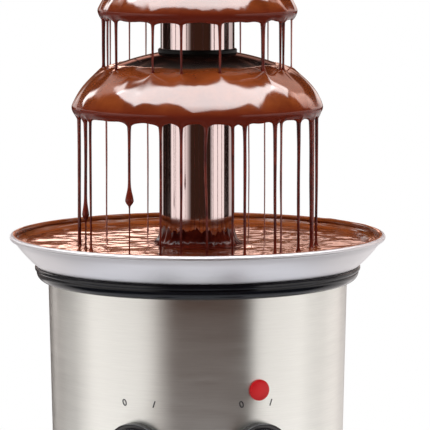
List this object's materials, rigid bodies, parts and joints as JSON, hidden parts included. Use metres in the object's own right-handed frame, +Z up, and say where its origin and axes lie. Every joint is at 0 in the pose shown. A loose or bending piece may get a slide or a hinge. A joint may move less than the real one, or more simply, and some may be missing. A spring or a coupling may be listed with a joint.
{
  "type": "chocolate fountain",
  "caption": "Chocolate fountain: heated steel bowl on a brushed steel base with knobs and a lamp, and a lift-off tube tower with domed tiers fed by a motor-driven auger.",
  "frame": {"origin": "on the table, under the tower's axis", "axes": "+Z up along the tower's axis, -Y out of the front with the knobs, +X to the right seen from the front"},
  "size_m": [0.24, 0.24, 0.3853],
  "materials": {
    "brushed_sleeve": "brushed round the sleeve",
    "bowl_steel": "satin polish",
    "tower_steel": "mirror polish",
    "black_ring": "gloss",
    "black_base": "fine texture",
    "knob_plastic": "gloss",
    "foot_rubber": "matt",
    "collar_rubber": "satin",
    "foot_plastic": "satin",
    "auger_plastic": "moulded",
    "zinc_steel": "zinc plated",
    "shaft_steel": "ground",
    "bush_bronze": "sintered",
    "seal_silicone": "matt",
    "cast_aluminium": "cast",
    "element_sheath": "oxidised",
    "motor_paint": "satin",
    "switch_plastic": "moulded",
    "white_ceramic": "matt",
    "red_lens": "gloss"
  },
  "bodies": {
    "base": {"body_shell": "brushed_sleeve", "top_ring": "black_ring", "base_pan": "black_base", "rubber_feet": "foot_rubber", "tie_screws": "zinc_steel", "bowl": "bowl_steel", "bowl_posts": "tower_steel", "heater_plate": "cast_aluminium", "heating_element": "element_sheath", "thermostat": "white_ceramic", "spacers": "zinc_steel", "motor_plate": "zinc_steel", "stud_nuts": "zinc_steel", "gear_case": "motor_paint", "motor_can": "motor_paint", "motor_screws": "zinc_steel", "shaft_bush": "bush_bronze", "shaft_seal": "seal_silicone", "motor_switch": "switch_plastic", "heat_switch": "switch_plastic", "switch_nuts": "zinc_steel", "lamp_lens": "red_lens", "lamp_holder": "white_ceramic", "cord_gland": "black_base", "gland_nut": "black_base"},
    "drive": {"drive_shaft": "shaft_steel", "drive_pin": "shaft_steel"},
    "screw": {"auger": "auger_plastic"},
    "tower": {"tower_foot": "foot_plastic", "tower_tube": "tower_steel", "lower_tier": "tower_steel", "lower_tier_collar": "collar_rubber", "lower_tier_stop": "tower_steel", "upper_tier": "tower_steel", "upper_tier_collar": "collar_rubber", "upper_tier_stop": "tower_steel", "crown": "tower_steel"},
    "motor_control": {"motor_knob": "knob_plastic", "motor_switch_shaft": "shaft_steel"},
    "heat_control": {"heat_knob": "knob_plastic", "heat_switch_shaft": "shaft_steel"}
  },
  "joints": [
    {"name": "drive_spin", "type": "hinge", "parent": "base", "child": "drive", "pos_m": [0, 0, 0.14081], "axis": [0, 0, 1], "continuous": true},
    {"name": "auger_lift", "type": "slide", "parent": "drive", "child": "screw", "axis": [0, 0, 1], "range_m": [0, 0.25]},
    {"name": "tower_lift", "type": "slide", "parent": "base", "child": "tower", "axis": [0, 0, 1], "range_m": [0, 0.26]},
    {"name": "motor_knob_turn", "type": "hinge", "parent": "base", "child": "motor_control", "pos_m": [-0.03724, -0.08564, 0.056], "axis": [-0.3987, -0.9171, 0], "range_deg": [0, 40]},
    {"name": "heat_knob_turn", "type": "hinge", "parent": "base", "child": "heat_control", "pos_m": [0.03724, -0.08564, 0.056], "axis": [0.3987, -0.9171, 0], "range_deg": [0, 40]}
  ]
}
